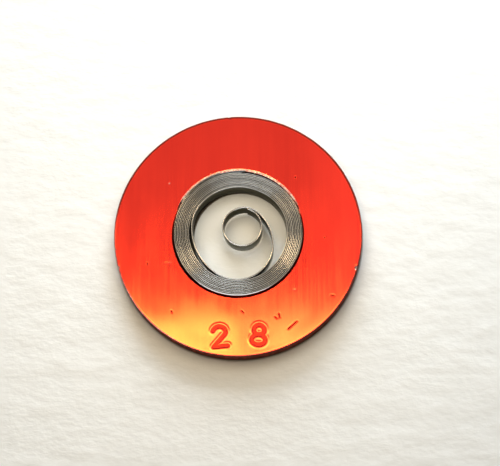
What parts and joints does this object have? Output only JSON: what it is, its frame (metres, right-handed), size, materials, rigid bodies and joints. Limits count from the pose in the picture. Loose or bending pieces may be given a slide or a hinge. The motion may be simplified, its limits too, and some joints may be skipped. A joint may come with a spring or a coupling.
{
  "type": "watch mainspring",
  "caption": "Flat coiled watch mainspring with an inner eye for the barrel arbor and a tongue at its outer end, held in the hole of a red retaining washer.",
  "frame": {"origin": "centre of the washer at its underside", "axes": "+Z along the axis of the coil, up from the surface it lies on; +Y towards the back of the picture"},
  "size_m": [0.0181, 0.018, 0.0018],
  "materials": {
    "anodised_aluminium": "satin red anodised sheet with fine rolling lines",
    "spring_steel": "polished strip with slightly rounded edges"
  },
  "bodies": {
    "root": {"retaining_washer": "anodised_aluminium", "mainspring": "spring_steel", "end_tongue": "spring_steel"}
  },
  "joints": []
}
